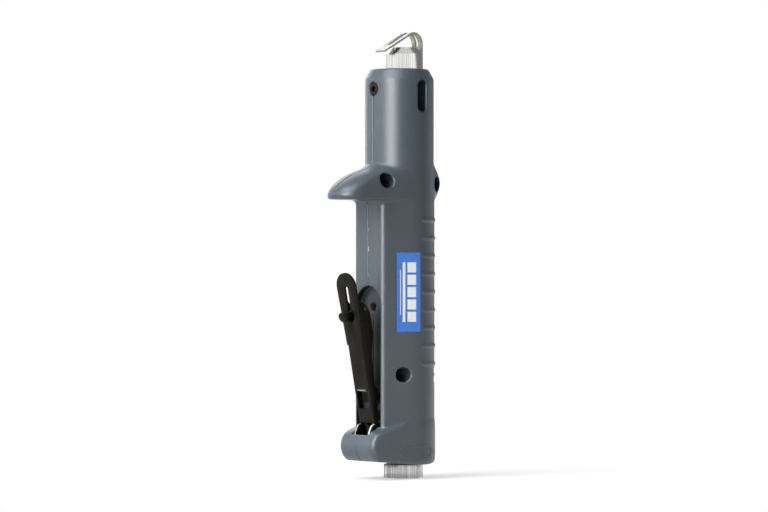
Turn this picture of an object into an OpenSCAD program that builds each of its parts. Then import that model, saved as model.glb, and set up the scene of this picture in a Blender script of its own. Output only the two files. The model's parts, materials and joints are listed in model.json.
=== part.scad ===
// Air saw: a hand-held pneumatic reciprocating saw with a moulded clamshell housing.
// +Z runs up the mechanism towards the blade, -Y is the lever side and +X the side with the label.
// The origin is the centre of the air inlet's outer end, on the mechanism's axis.

/* [Housing] */
// Radius of the round barrel
barrel_r = 18.6; // [17:0.1:21]
// How far the barrel's centre lies towards the lever from the mechanism's axis
barrel_shift = 2.9; // [1:0.1:4]
// How far the grip's back swells over the barrel
grip_swell = 0.4; // [0:0.1:1]
// Distance of the grip's flat front face from the mechanism's axis
grip_front = 24.9; // [24:0.1:27]
// Half width of the grip's front, over its rounded corners
grip_half_w = 12.9; // [12:0.1:15]
// Radius of the grip's front corners
grip_corner_r = 4.3; // [2:0.1:6]
// Length of the housing
housing_len = 212.6; // [205:0.1:230]
// Radius of the flat at the housing's top
top_rim_r = 14.6; // [14.4:0.1:16]
// Height of the rounding at the housing's top
top_round_h = 7; // [2:0.1:9]
// Rounding of the base's lower edge
base_edge_r = 3; // [1:0.1:4]
// Slope of the base's underside up towards the knuckle, in degrees
underside_slope = 4.6; // [0:0.1:6]

/* [Knuckle] */
// Radius of the knuckle that carries the lever
knuckle_r = 9.2; // [8.4:0.1:9.6]
// Half width of the knuckle
knuckle_half_w = 14.9; // [13:0.1:16]
// How far the base's back swells over the grip
boot_swell = 0.4; // [0:0.1:0.8]
// Slope of the base's upper shoulder, up towards the rear
boot_slope = 0.27; // [0:0.01:0.3]
// Height of the lever's pivot over the housing's lower face
pivot_rise = 10.3; // [9.5:0.1:12]
// Distance of the lever's pivot from the mechanism's axis
pivot_y = 24.2; // [23.6:0.1:24.8]
// Radius of the lever's pivot pin
lever_pin_r = 1.5; // [1:0.1:2]
// Length of the lever's pivot pin
lever_pin_len = 22; // [18:0.5:25]

/* [Hand guard] */
// Reach of the guard's tip from the mechanism's axis
guard_reach = 49.1; // [44:0.1:54]
// Radius of the guard's tip, seen from above
guard_tip_r = 13; // [10:0.1:15]
// Height of the guard's underside
guard_under_z = 149.6; // [147:0.1:155]
// Height of the guard, from its underside to where it meets the barrel
guard_h = 20.4; // [16:0.1:26]

/* [Rear lugs] */
// Radius of the lugs round the rear screws
lug_r = 12.8; // [11:0.1:14]
// Distance of the upper lug's centre behind the mechanism's axis
upper_lug_y = 9.2; // [5:0.1:10]
// Distance of the lower lug's centre behind the mechanism's axis
lower_lug_y = 5.6; // [4:0.1:8]
// Half height over which the upper lug fades
upper_lug_h = 10.3; // [7:0.1:13]
// Half height over which the lower lug fades
lower_lug_h = 8; // [5:0.1:10]

/* [Back ribs] */
// Number of ribs round the back of the grip
rib_n = 9; // [3:1:9]
// Distance from rib to rib
rib_pitch = 9.65; // [8:0.05:10]
// Height of the lowest rib
rib_first_z = 61.6; // [60:0.1:66]
// How far the ribs stand out
rib_proud = 0.6; // [0.2:0.05:1]
// Height of one rib
rib_h = 1.5; // [1:0.1:3]

/* [Lever pocket] */
// Half width of the pocket behind the lever
pocket_half_w = 10; // [8:0.1:11]
// Height of the pocket's round top
pocket_top_z = 103.3; // [95:0.1:110]
// Depth of the pocket in the grip's front face
pocket_depth = 3.9; // [3.5:0.1:4.5]
// Height of the round hole in the pocket's floor
floor_hole_z = 92; // [85:0.1:96]
// Radius of the round hole in the pocket's floor
floor_hole_r = 2.5; // [1.5:0.1:3]

/* [Label] */
// Width of the label plate
label_w = 13.5; // [8:0.1:14.5]
// Height of the label plate
label_h = 42.4; // [20:0.1:48]
// Thickness of the label plate
label_t = 0.35; // [0.2:0.05:0.6]
// Height of the label plate's centre
label_z = 100.2; // [90:0.1:110]
// Direction of the label plate's normal, turned from the lever side
label_turn = 72; // [70:0.5:74]

/* [Housing screws] */
// Radius of the wells over the screw heads
well_r = 3.95; // [3.8:0.05:4.5]
// Radius of the screws' heads
head_r = 3.5; // [3:0.05:3.7]
// Height of the screws' heads
head_h = 3; // [2:0.1:4]
// Radius of the screws' shanks
shank_r = 2; // [1.5:0.05:2.2]
// Length of the screws' shanks
shank_len = 10.5; // [9:0.5:11.5]
// Seat of the upper screws' heads, from the parting plane
upper_seat_x = 1.8; // [1:0.1:4]
// Seat of the lower screws' heads, from the parting plane
lower_seat_x = 3; // [1:0.1:5]
// Width across the flats of the screws' sockets
socket_af = 3; // [2:0.1:3.5]

/* [Guide screw] */
// Depth of the guide screw below the housing's top
guide_screw_drop = 11.1; // [9:0.1:13]
// Distance from the nose tube to the seat of the guide screw's head
guide_seat_out = 7.7; // [7:0.1:8.5]
// Length of the guide screw's shank
guide_screw_len = 8.2; // [8:0.1:8.4]
// Width of the square nut behind the guide screw's head
guide_nut_w = 7; // [6:0.1:8]
// Thickness of the square nut
guide_nut_t = 2.4; // [1.5:0.1:3]

/* [Throttle lever] */
// Thickness of the lever's sheet steel
sheet_t = 1.2; // [0.8:0.1:1.6]
// Lean of the lever away from the grip at rest
lever_lean = 11; // [10.5:0.1:13]
// Length of the lever over its pivot
lever_len = 94.2; // [85:0.1:100]
// Width of the lever
lever_w = 12.6; // [11:0.1:12.8]
// Width of the lever's round end
paddle_w = 15.4; // [13.5:0.1:17]
// Radius of the lever's ears round the pivot pin
ear_r = 4; // [3:0.1:4.2]
// Width of the slot for the lock lever
lock_slot_w = 2.8; // [2.6:0.1:4]
// Width of the window near the lever's foot
foot_window_w = 8.6; // [6:0.1:9]
// Height of the window near the lever's foot
foot_window_h = 9.7; // [8:0.1:12]

/* [Lock lever] */
// Height of the lock lever's pin along the throttle lever
lock_up = 73.5; // [70:0.1:76]
// Depth of the lock lever's pin behind the throttle lever's face
lock_in = 5.9; // [5:0.1:6.5]
// Thickness of the lock lever
lock_t = 2.2; // [1.5:0.1:2.4]
// Radius of the thumb knob
knob_r = 2.7; // [2:0.1:3.4]
// Length of the thumb knob
knob_len = 3; // [2:0.1:4]
// Reach of the thumb knob from its pin
knob_reach = 12; // [10:0.1:13]
// Droop of the lock lever at rest, in degrees
lock_droop = 12; // [5:1:20]
// Radius of the lock lever's pin
lock_pin_r = 0.7; // [0.5:0.05:1]

/* [Throttle valve] */
// Height of the throttle valve
valve_z = 44; // [42:0.1:44.5]
// Radius of the throttle valve's bore in its block
valve_bore_r = 5.5; // [5:0.1:5.6]
// Radius of the valve's stem
stem_r = 1.6; // [1.2:0.1:2]
// Outer radius of the valve's spring
valve_coil_r = 4; // [3:0.1:4.4]
// Wire radius of the valve's spring
valve_wire_r = 0.4; // [0.3:0.05:0.6]
// Number of the valve spring's curls
valve_curls = 6; // [4:1:9]

/* [Air inlet] */
// Width across the flats of the inlet's hexagon
hex_af = 19; // [17:0.5:22]
// Height of the inlet's hexagon
hex_h = 7.5; // [5:0.1:10]
// Angle at which the hexagon has come to rest in its thread
hex_turn = 34; // [0:1:60]
// Radius of the inlet's threaded hole
inlet_r = 5.72; // [4:0.01:7]
// Length of the inlet's threaded hole
inlet_thread_len = 12; // [8:0.5:14]
// Radius of the inlet's body in the base
inlet_body_r = 9; // [8:0.1:10]
// Length of the inlet's body in the base
inlet_body_len = 18.5; // [17:0.1:19]

/* [Motor] */
// Radius of the valve block
block_r = 13; // [11:0.1:13.4]
// Height of the valve block
block_h = 24; // [23:0.1:24.5]
// Radius of the valve block's neck
neck_r = 7.5; // [6:0.1:7.8]
// Height of the valve block's neck
neck_h = 12; // [11:0.1:14]
// Outer radius of the motor
motor_r = 12.5; // [11.5:0.1:13]
// Height of the motor's end cap
cap_h = 10; // [8:0.1:12]
// Height of the valve chest
chest_h = 8; // [7:0.1:10]
// Thickness of the shuttle valve
shuttle_t = 2.4; // [1.5:0.1:3]
// Travel of the shuttle valve
shuttle_travel = 0.9; // [0.5:0.1:1.2]
// Radius of the piston
piston_r = 8.94; // [8:0.01:9.5]
// Length of the piston
piston_len = 24; // [18:0.5:26]
// Stroke of the piston
stroke = 10; // [6:0.5:12]
// Radius of the piston's rod
rod_r = 4; // [3:0.1:5]
// Thickness of the bumper
bumper_t = 4; // [2:0.5:5]
// Length of the rod's bushing
rod_bush_len = 25; // [20:0.5:28]

/* [Blade holder] */
// Radius of the blade chuck
chuck_r = 7.5; // [6.5:0.1:7.8]
// Depth of the blade chuck's foot below the nose's end
chuck_drop = 43.8; // [42:0.1:47]
// Length of the blade chuck
chuck_len = 24; // [20:0.5:26]
// Depth of the blade's slot in the chuck
blade_slot_depth = 20; // [15:0.5:21]
// Width of the blade's slot in the chuck, without its clamp
blade_slot_w = 1.4; // [0.8:0.1:2]
// Thickness of the blade clamp
clamp_t = 1.8; // [1:0.1:2.5]
// Radius of the blade's clamp screws
clamp_screw_r = 2; // [1.5:0.1:2.2]

/* [Nose] */
// Radius of the nose tube
nose_r = 10.4; // [9.5:0.1:11]
// Bore radius of the nose tube
nose_bore_r = 8.2; // [8:0.1:8.4]
// Height of the nose tube over the housing's top
nose_out = 11.7; // [9:0.1:16]
// Length of the nose tube
nose_len = 61.8; // [58:0.1:66]
// Radius of the nose tube's flat end
nose_end_r = 7.2; // [6.8:0.1:8]
// Height of the nose tube's chamfer
nose_chamfer_h = 3.5; // [2:0.1:5]
// Thickness of the nose tube's end wall
nose_wall = 3.6; // [2:0.1:4]
// Width of the blade's slot in the nose's end
slit_w = 2.4; // [1.6:0.1:3]
// Travel of the nose tube and its strap, out of the housing
guide_travel = 8; // [4:0.5:9]

/* [Key slot] */
// Width of the slot for the blade's key
key_slot_w = 5.8; // [5:0.1:7]
// Depth of the key slot's lower end below the housing's top
key_slot_drop = 23.4; // [23:0.1:25]
// Length of the key slot
key_slot_len = 17.3; // [15:0.1:18]
// How far the key slot lies towards the lever from the mechanism's axis
key_slot_shift = 2.2; // [0:0.1:2.4]

/* [Blade guide] */
// Width of the blade guide's strap
strap_w = 8.2; // [6:0.1:10]
// Thickness of the strap
strap_t = 1.1; // [0.8:0.1:1.6]
// Outer radius of the strap's bend
strap_bend_r = 6.2; // [4:0.1:7]
// Height of the bend's centre over the nose
strap_bend_up = 2.3; // [1.5:0.1:5]
// Slope of the strap's front, in degrees
strap_slope = 28.8; // [25:0.1:32]
// Length of the strap's sloping front
strap_front_len = 20.1; // [15:0.1:22]
// Width of the blade's slot in the strap
strap_slot_w = 2; // [1.4:0.1:3]
// Length of the strap's leg below the nose's end
strap_leg = 25; // [20:0.5:27]

/* [Clearances] */
// Radial running clearance of a shaft or a piston
run_gap = 0.06; // [0.03:0.01:0.1]
// Clearance between a fixed piece and its seat in the housing
seat_gap = 0.1; // [0.05:0.01:0.2]
// Clearance beside a piece that swings or slides in the open
free_gap = 0.3; // [0.2:0.05:0.5]

/* [Hidden] */
$fn = 48;
housing_z = hex_h;
housing_top = housing_z + housing_len;
grip_corner_x = grip_half_w - grip_corner_r;
pivot_z = housing_z + pivot_rise;
block_z = housing_z + inlet_body_len;
neck_z = block_z + block_h;
cap_z = neck_z + neck_h;
chest_z = cap_z + cap_h;
cylinder_z = chest_z + chest_h;
bore_r = piston_r + run_gap;
piston_z = cylinder_z + 2;
cylinder_len = 2 + piston_len + stroke + 1 + bumper_t;
rod_bush_z = cylinder_z + cylinder_len;
motor_top = rod_bush_z + rod_bush_len;
nose_top = housing_top + nose_out;
nose_z = nose_top - nose_len;
chuck_z = nose_top - chuck_drop;
key_slot_z = housing_top - key_slot_drop;
guide_screw_z = housing_top - guide_screw_drop;
guide_seat_y = -(nose_r + guide_seat_out);
guide_groove_y = guide_seat_y + guide_screw_len + free_gap;
grip_r = barrel_r + grip_swell;
rod_room_r = 7;
pocket_floor_y = -(grip_front - pocket_depth);
guard_mid_z = guard_under_z + 9.2;
lower_screw_z = 55.5;
step_angle = 5;
far = 70;

// Housing screws: distance behind the axis, height, and where the head seats along X
housing_screw_sites = [
    [-(grip_front - 1.5), guard_under_z + 10, upper_seat_x],
    [motor_r + 1.5, guard_mid_z - 0.5, upper_seat_x],
    [-(block_r + 0.4), lower_screw_z + 0.6, lower_seat_x],
    [block_r - 0.5, lower_screw_z, lower_seat_x]
];

// Small helpers

module along_x() rotate([0, 90, 0]) children();
module along_y() rotate([-90, 0, 0]) children();

module tube(outer, inner, h) {
    difference() {
        cylinder(r = outer, h = h);
        translate([0, 0, -1]) cylinder(r = inner, h = h + 2);
    }
}

module hex_prism(af, h) rotate(30) cylinder(d = af / cos(30), h = h, $fn = 6);

module ring(middle_r, wire_r) rotate_extrude() translate([middle_r, 0]) circle(r = wire_r, $fn = 24);

// A coil along Z as one unbroken tube of six sides, with eight rings a curl
function coil_point(a, r, pitch) = [r * cos(a), r * sin(a), pitch * a / 360];
function coil_points(r, wire_r, pitch, curls) = [
    for (i = [0:8 * curls]) let (a = 45 * i, c = coil_point(a, r, pitch))
        for (k = [0:5]) c + wire_r * [cos(60 * k) * cos(a), cos(60 * k) * sin(a), sin(60 * k)]
];
function coil_faces(curls) = let (n = 8 * curls) concat(
    [for (i = [0:n - 1], k = [0:5]) [6 * i + k, 6 * (i + 1) + k, 6 * (i + 1) + (k + 1) % 6]],
    [for (i = [0:n - 1], k = [0:5]) [6 * i + k, 6 * (i + 1) + (k + 1) % 6, 6 * i + (k + 1) % 6]],
    [for (k = [1:4]) [0, k, k + 1]],
    [for (k = [1:4]) [6 * n, 6 * n + k + 1, 6 * n + k]]
);
module coil(r, wire_r, pitch, curls)
    polyhedron(coil_points(r, wire_r, pitch, curls), coil_faces(curls));

// Least gap of a coil to itself, measured between points half a curl apart or more
function coil_gap(r, wire_r, pitch, curls) = min([
    for (i = [0:8 * curls], j = [i + 4:1:8 * curls])
        norm(coil_point(45 * i, r, pitch) - coil_point(45 * j, r, pitch))
]) - 2 * wire_r;

// Housing form
// A section is [z, back radius, front corner centre x, its y, its radius, lug centre y, slope].
// Its outline is the tight skin round those circles, walked by the direction of its normal,
// and with a slope it climbs from its front, at z, to the line where the base's shoulder fades.

function fade(z, middle, half_h) = exp(-pow((z - middle) / half_h, 2));
lug_rest_y = barrel_r - barrel_shift - lug_r - 0.6;
function lug_y(z) = lug_rest_y
    + (upper_lug_y - lug_rest_y) * fade(z, guard_mid_z, upper_lug_h)
    + (lower_lug_y - lug_rest_y) * fade(z, lower_screw_z, lower_lug_h);

shoulder_end_y = -7;
shoulder_under = 3;
shoulder_over = 1.2;
knuckle_corner_r = 3.5;
knuckle_corner_x = knuckle_half_w - knuckle_corner_r;
knuckle_top_z = pivot_z + sqrt(pow(knuckle_r, 2) - pow(grip_front - pivot_y, 2));
knuckle_bottom_a = asin((housing_z + base_edge_r - pivot_z) / knuckle_r);
function knuckle_front(z) = z > knuckle_top_z ? -grip_front
    : -pivot_y - sqrt(max(0, pow(knuckle_r, 2) - pow(z - pivot_z, 2)));

// How much of the base's width is left at a height: all of it below the shoulder, none above
function smooth(t) = let (u = min(1, max(0, t))) u * u * (3 - 2 * u);
function boot_share(z) = smooth((knuckle_top_z + shoulder_over - z) / (shoulder_over + shoulder_under));
function boot_mix(z, grip_size, base_size) = grip_size + boot_share(z) * (base_size - grip_size);
function boot_climb(z) = boot_slope * pow(min(1, max(0, (z - pivot_z) / (knuckle_top_z - pivot_z))), 2);

// Base: its lower edge is rounded, its front follows the knuckle, and its shoulder runs into the grip
function base_section(z, inset) = let (corner_r = boot_mix(z, grip_corner_r, knuckle_corner_r)) [
    z, grip_r + boot_share(z) * boot_swell - inset, boot_mix(z, grip_corner_x, knuckle_corner_x),
    knuckle_front(z) + corner_r, corner_r - inset * 0.9, lug_rest_y - inset, boot_climb(z)
];
base_edge = [
    for (a = [0:22.5:90])
        base_section(housing_z + base_edge_r * (1 - cos(a)), base_edge_r * (1 - sin(a)))
];
knuckle_rings = [
    for (a = [knuckle_bottom_a + 12:12:72]) base_section(pivot_z + knuckle_r * sin(a), 0)
];
shoulder_rings = [for (up = [0.01, 0.6, shoulder_over]) base_section(knuckle_top_z + up, 0)];

// Grip: the same section all the way, with the lower rear lug behind it
function grip_section(z, flare) = [
    z, grip_r, grip_corner_x, -grip_front + grip_corner_r - flare * 0.6, grip_corner_r + flare * 0.6,
    lug_y(z), 0
];
grip_rings = [
    for (z = concat([for (k = [-4:4]) lower_screw_z + k * lower_lug_h / 2.2],
        [for (k = [-3.4:0.7:-1.6]) guard_mid_z + k * upper_lug_h * 0.7])) grip_section(z, 0)
];
fillet_r = 2.4;
under_fillet = [
    for (a = [0:30:90])
        grip_section(guard_under_z - fillet_r * (1 - sin(a)) - 0.05, fillet_r * (1 - cos(a)))
];

// Hand guard: the tip's centre leaves the barrel along a curve that is hollow at its root and then full
guard_tip_y = -(guard_reach - guard_tip_r);
guard_root_y = -(barrel_shift + barrel_r - guard_tip_r) + 0.6;
// Share of the reach at each share of the height, from the underside up
guard_curve = [
    [0, 0.93], [0.012, 0.965], [0.04, 0.99], [0.09, 1], [0.16, 1], [0.24, 0.97], [0.33, 0.915], [0.42, 0.835],
    [0.5, 0.745], [0.58, 0.645], [0.65, 0.54], [0.71, 0.425], [0.77, 0.285], [0.82, 0.185], [0.86, 0.12],
    [0.9, 0.07], [0.95, 0.028], [1, 0]
];
guard_rings = [
    for (c = guard_curve) let (z = guard_under_z + c[0] * guard_h)
        [z, barrel_r + grip_swell * (1 - c[0]), 0, guard_root_y + c[1] * (guard_tip_y - guard_root_y),
            guard_tip_r, lug_y(z), 0]
];

// Barrel, and the rounding of its top as a quarter of an ellipse
barrel_rings = [
    for (z = concat([for (s = [2.4, 4.8, 8]) guard_under_z + guard_h + s], [housing_top - top_round_h - 0.8]))
        [z, barrel_r, 0, guard_root_y, guard_tip_r, lug_y(z), 0]
];
top_rings = [
    for (a = [0:18:90])
        [housing_top - top_round_h * (1 - sin(a)), top_rim_r + (barrel_r - top_rim_r) * cos(a), 0,
            -barrel_shift, top_rim_r / 2, -barrel_shift, 0]
];
sections = concat(base_edge, knuckle_rings, shoulder_rings, grip_rings, under_fillet, guard_rings,
    barrel_rings, top_rings);

// The point of a section whose normal has direction a, measured from +X towards +Y.
// Where two circles reach about as far, the point slides along their common tangent.
tangent_blend = 1.5;
function on_circle(c, u) = [c[0] + c[2] * u[0], c[1] + c[2] * u[1]];
function slide(p, q, u) = p + smooth(0.5 + (q - p) * u / tangent_blend) * (q - p);
function skin_point(s, a) = let (
        u = [cos(a), sin(a)],
        back = on_circle([0, -barrel_shift, s[1]], u),
        lug = on_circle([0, s[5], min(lug_r, s[1] - 2)], u),
        front = on_circle([s[2], s[3], s[4]], u),
        p = slide(slide(back, lug, u), front, u),
        climb = s[6] * (min(p[1], shoulder_end_y) - s[3] + s[4])
    ) [abs(a) == 90 && s[2] == 0 ? 0 : p[0], p[1], s[0] + climb];
function ring_points(s) = concat([[0, skin_point(s, -90)[1], s[0]]],
    [for (a = [-90:step_angle:90]) skin_point(s, a)]);
ring_n = 180 / step_angle + 2;

// One half of the outer form, closed on the plane X = 0
module half_form() {
    n = ring_n;
    m = len(sections);
    polyhedron(
        [for (s = sections) each ring_points(s)],
        concat(
            [for (i = [0:m - 2], j = [0:n - 2]) [i * n + j, (i + 1) * n + j, (i + 1) * n + j + 1]],
            [for (i = [0:m - 2], j = [0:n - 2]) [i * n + j, (i + 1) * n + j + 1, i * n + j + 1]],
            [for (i = [0:m - 2]) [i * n + n - 1, (i + 1) * n + n - 1, (i + 1) * n]],
            [for (i = [0:m - 2]) [i * n + n - 1, (i + 1) * n, i * n]],
            [for (j = [1:n - 2]) [0, j, j + 1]],
            [for (j = [1:n - 2]) [(m - 1) * n, (m - 1) * n + j + 1, (m - 1) * n + j]]
        )
    );
}

rib_start_a = 1;
module back_rib() {
    r = grip_r;
    root_h = rib_h / 2 + rib_h / 4 / rib_proud;
    translate([0, -barrel_shift, 0])
        rotate(rib_start_a) rotate_extrude(angle = 90 - rib_start_a)
            polygon([[r - 1, -root_h], [r + rib_proud, -rib_h / 4], [r + rib_proud, rib_h / 4], [r - 1, root_h]]);
}

// Room inside both halves for the stack of the mechanism
module mechanism_room() {
    g = seat_gap;
    rotate_extrude()
        polygon([[0, housing_z - 1], [inlet_body_r + g, housing_z - 1], [inlet_body_r + g, block_z],
            [block_r + g, block_z], [block_r + g, neck_z], [neck_r + g, neck_z], [neck_r + g, cap_z],
            [motor_r + g, cap_z], [motor_r + g, motor_top], [rod_room_r, motor_top], [rod_room_r, nose_z],
            [nose_r + run_gap, nose_z], [nose_r + run_gap, housing_top + 1], [0, housing_top + 1]]);
}

// Underside: level from the inlet's middle to the rear, and sloping up from there to the knuckle
module underside_cut() {
    front = pivot_y + 2 * knuckle_r;
    translate([-far, 0, 0]) rotate([90, 0, 90]) linear_extrude(2 * far)
        polygon([[0, housing_z - 2], [0, housing_z], [-front, housing_z + front * tan(underside_slope)],
            [-front, housing_z - 2]]);
}

module lever_pocket() {
    top = pocket_top_z - pocket_half_w;
    foot = knuckle_top_z + shoulder_over;
    translate([-pocket_half_w, pocket_floor_y - far, foot]) cube([2 * pocket_half_w, far, top - foot]);
    translate([0, pocket_floor_y, top]) rotate([90, 0, 0]) cylinder(r = pocket_half_w, h = far);
}

slot_front = 6.3;
module knuckle_slot() {
    half_w = lever_w / 2 + free_gap;
    back = ear_r + 2 * free_gap;
    translate([-half_w, -pivot_y - slot_front, pivot_z - back])
        cube([2 * half_w, slot_front + back, knuckle_top_z + 2.6 - pivot_z + back]);
}

module screw_hole(site, well) {
    translate([site[2], site[0], site[1]]) {
        translate([-shank_len - 0.5, 0, 0]) along_x() cylinder(r = shank_r + run_gap, h = shank_len + 1);
        if (well) along_x() cylinder(r = well_r, h = far);
    }
}

module guide_screw_room() {
    translate([0, guide_seat_y, guide_screw_z]) rotate([90, 0, 0]) cylinder(r = head_r + seat_gap, h = far);
    translate([0, -nose_r + 1, guide_screw_z])
        rotate([90, 0, 0]) cylinder(r = shank_r + run_gap, h = guide_seat_out + 2);
    translate([0, nut_y, guide_screw_z])
        cube([guide_nut_w + 2 * seat_gap, guide_nut_t, guide_nut_w + 2 * seat_gap], center = true);
}
nut_y = -nose_r - 3.2;

module key_slot(z, h, from_x) {
    translate([from_x, -key_slot_shift, 0]) {
        translate([0, -key_slot_w / 2, z + key_slot_w / 2]) cube([far, key_slot_w, h - key_slot_w]);
        for (end = [z + key_slot_w / 2, z + h - key_slot_w / 2])
            translate([0, 0, end]) along_x() cylinder(r = key_slot_w / 2, h = far);
    }
}

// Channel behind the nose for the strap's leg
module strap_channel() {
    half_w = strap_w / 2 + free_gap;
    translate([-half_w, 0, nose_top - strap_leg - free_gap])
        cube([2 * half_w, strap_back + free_gap, strap_leg]);
}

// The label's plane lies just under the tight skin of the flank
label_out = grip_r + barrel_shift * cos(label_turn) - 0.66;
module on_label_plane(out, along) {
    rotate([0, 0, label_turn - 90]) translate([out, along, label_z]) children();
}
label_along = -4.9;
module label_recess() {
    on_label_plane(label_out - label_t, label_along)
        translate([0, -label_w / 2 - 0.2, -label_h / 2 - 0.2]) cube([3, label_w + 0.4, label_h + 0.4]);
}

module shell_cuts(right) {
    mechanism_room();
    underside_cut();
    lever_pocket();
    knuckle_slot();
    translate([0, -pivot_y, pivot_z]) along_x() cylinder(r = lever_pin_r, h = lever_pin_len, center = true);
    translate([0, pocket_floor_y - 1, floor_hole_z]) along_y() cylinder(r = floor_hole_r, h = 5);
    translate([0, pocket_floor_y - 1, valve_z]) along_y() cylinder(r = valve_bore_r, h = 12);
    for (site = housing_screw_sites) screw_hole(site, right);
    guide_screw_room();
    strap_channel();
    if (right) {
        key_slot(key_slot_z, key_slot_len, nose_r - 2);
        label_recess();
    }
}

module housing_half(right) {
    difference() {
        union() {
            if (right) half_form();
            else mirror([1, 0, 0]) half_form();
            for (k = [0:rib_n - 1])
                translate([0, 0, rib_first_z + k * rib_pitch])
                    if (right) back_rib();
                    else mirror([1, 0, 0]) back_rib();
        }
        shell_cuts(right);
    }
}

module housing_right() color("slategray") housing_half(true);
module housing_left() color("slategray") housing_half(false);

module cap_screw(length) {
    difference() {
        union() {
            cylinder(r = head_r, h = head_h);
            translate([0, 0, -length]) cylinder(r = shank_r, h = length);
        }
        translate([0, 0, head_h * 0.35]) hex_prism(socket_af, head_h);
    }
}

module housing_screws() color("dimgray")
    for (site = housing_screw_sites)
        translate([site[2], site[0], site[1]]) along_x() cap_screw(shank_len);

module guide_screw() color("dimgray")
    translate([0, guide_seat_y, guide_screw_z]) rotate([90, 0, 0]) cap_screw(guide_screw_len);

module guide_nut() color("silver")
    translate([0, nut_y, guide_screw_z])
        difference() {
            cube([guide_nut_w, guide_nut_t, guide_nut_w], center = true);
            translate([0, -guide_nut_t, 0]) along_y() cylinder(r = shank_r + run_gap, h = 2 * guide_nut_t);
        }

module label_plate() color("royalblue")
    on_label_plane(label_out - label_t, label_along)
        translate([0, -label_w / 2, -label_h / 2]) cube([label_t, label_w, label_h]);

// Air inlet

module inlet_bushing() color("silver")
    difference() {
        union() {
            rotate(hex_turn) hex_prism(hex_af, hex_h);
            cylinder(r = inlet_body_r, h = hex_h + inlet_body_len);
        }
        translate([0, 0, -1]) cylinder(r = inlet_r, h = inlet_thread_len + 1);
        cylinder(r = 4, h = far);
        translate([0, 0, inlet_thread_len]) cylinder(r = inlet_r - 0.6, h = 2);
        translate([0, 0, block_z - 1.6]) cylinder(r = 7.2, h = 2);
    }

module inlet_screen() color("lightsteelblue")
    translate([0, 0, inlet_thread_len + 1.4])
        difference() {
            cylinder(r = inlet_r - 0.7, h = 0.6);
            for (k = [0:5]) rotate(60 * k) translate([2.6, 0, -1]) cylinder(r = 0.8, h = 3);
            translate([0, 0, -1]) cylinder(r = 0.8, h = 3);
        }

module inlet_seal() color("black") translate([0, 0, block_z - 0.8]) ring(6.3, 0.8);

// Valve block and throttle valve

module valve_body() color("lightgray")
    difference() {
        union() {
            translate([0, 0, block_z]) cylinder(r = block_r, h = block_h);
            translate([0, 0, neck_z]) cylinder(r = neck_r, h = neck_h);
        }
        translate([0, 0, block_z - 1]) cylinder(r = 4, h = valve_z - block_z + 1);
        translate([0, -far / 2, valve_z]) along_y() cylinder(r = valve_bore_r, h = far);
        translate([0, -4.6, valve_z]) cylinder(r = 2, h = cap_z - valve_z + 1);
    }

bush_face_y = pocket_floor_y;
bush_end_y = -8;
seal_t = 1.4;
valve_head_t = 1.6;
valve_head_y = bush_end_y + seal_t;
module valve_bush() color("goldenrod")
    translate([0, bush_face_y, valve_z])
        along_y() tube(valve_bore_r - run_gap, stem_r + run_gap, bush_end_y - bush_face_y);

// The lever's pad lies on the plane at pad_y in the lever's own frame, and the stem's end rests beside it
face_y = 0.6;
pad_y = face_y + 4.2;
tip_y = -pivot_y + (pad_y + stem_r + 0.1 - (valve_z - pivot_z) * sin(lever_lean)) / cos(lever_lean);
module valve_stem() color("silver")
    translate([0, 0, valve_z]) {
        translate([0, tip_y, 0]) sphere(r = stem_r);
        translate([0, tip_y, 0]) along_y() cylinder(r = stem_r, h = valve_head_y + valve_head_t - tip_y);
        translate([0, valve_head_y, 0]) along_y() cylinder(r = valve_bore_r - 1.1, h = valve_head_t);
    }

module valve_seal() color("black")
    translate([0, bush_end_y + 0.05, valve_z]) along_y() tube(valve_bore_r - 1.1, stem_r, seal_t - 0.05);

plug_y = 7;
plug_len = sqrt(pow(block_r, 2) - pow(valve_bore_r, 2)) - plug_y - free_gap;
module valve_plug() color("goldenrod")
    translate([0, plug_y, valve_z]) along_y()
        difference() {
            cylinder(r = valve_bore_r - run_gap, h = plug_len);
            translate([0, 0, plug_len / 2]) hex_prism(5, plug_len);
        }

valve_spring_room = plug_y - valve_head_y - valve_head_t;
valve_pitch = (valve_spring_room - 2 * valve_wire_r - 0.1) / valve_curls;
echo("Valve spring, least gap of the wire to itself in mm",
    coil_gap(valve_coil_r - valve_wire_r, valve_wire_r, valve_pitch, valve_curls));
module valve_spring() color("gainsboro")
    translate([0, valve_head_y + valve_head_t + valve_wire_r + 0.05, valve_z])
        along_y() coil(valve_coil_r - valve_wire_r, valve_wire_r, valve_pitch, valve_curls);

// Throttle lever, drawn upright in its own frame: Z up from the pivot, +Y towards the grip

module at_pivot() translate([0, -pivot_y, pivot_z]) rotate([lever_lean, 0, 0]) children();

foot_up = 12.7;
paddle_r = paddle_w / 2;
paddle_up = lever_len - paddle_r;
taper_up = 55;
paddle_lean = atan((paddle_r - lever_w / 2) / (paddle_up - taper_up));
window_up = 20.3;
keyhole_up = lock_up - 6;

module plate_outline() {
    translate([0, paddle_up]) circle(r = paddle_r);
    polygon([[-lever_w / 2, foot_up], [lever_w / 2, foot_up], [lever_w / 2, taper_up],
        [paddle_r * cos(paddle_lean), paddle_up - paddle_r * sin(paddle_lean)],
        [-paddle_r * cos(paddle_lean), paddle_up - paddle_r * sin(paddle_lean)], [-lever_w / 2, taper_up]]);
}

module plate_holes() {
    translate([-lock_slot_w / 2, keyhole_up]) square([lock_slot_w, 18]);
    translate([0, keyhole_up + 18]) circle(r = lock_slot_w / 2);
    translate([0, keyhole_up + 3.3]) circle(r = 3.4);
    translate([-foot_window_w / 2, window_up]) square([foot_window_w, foot_window_h]);
}

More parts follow.
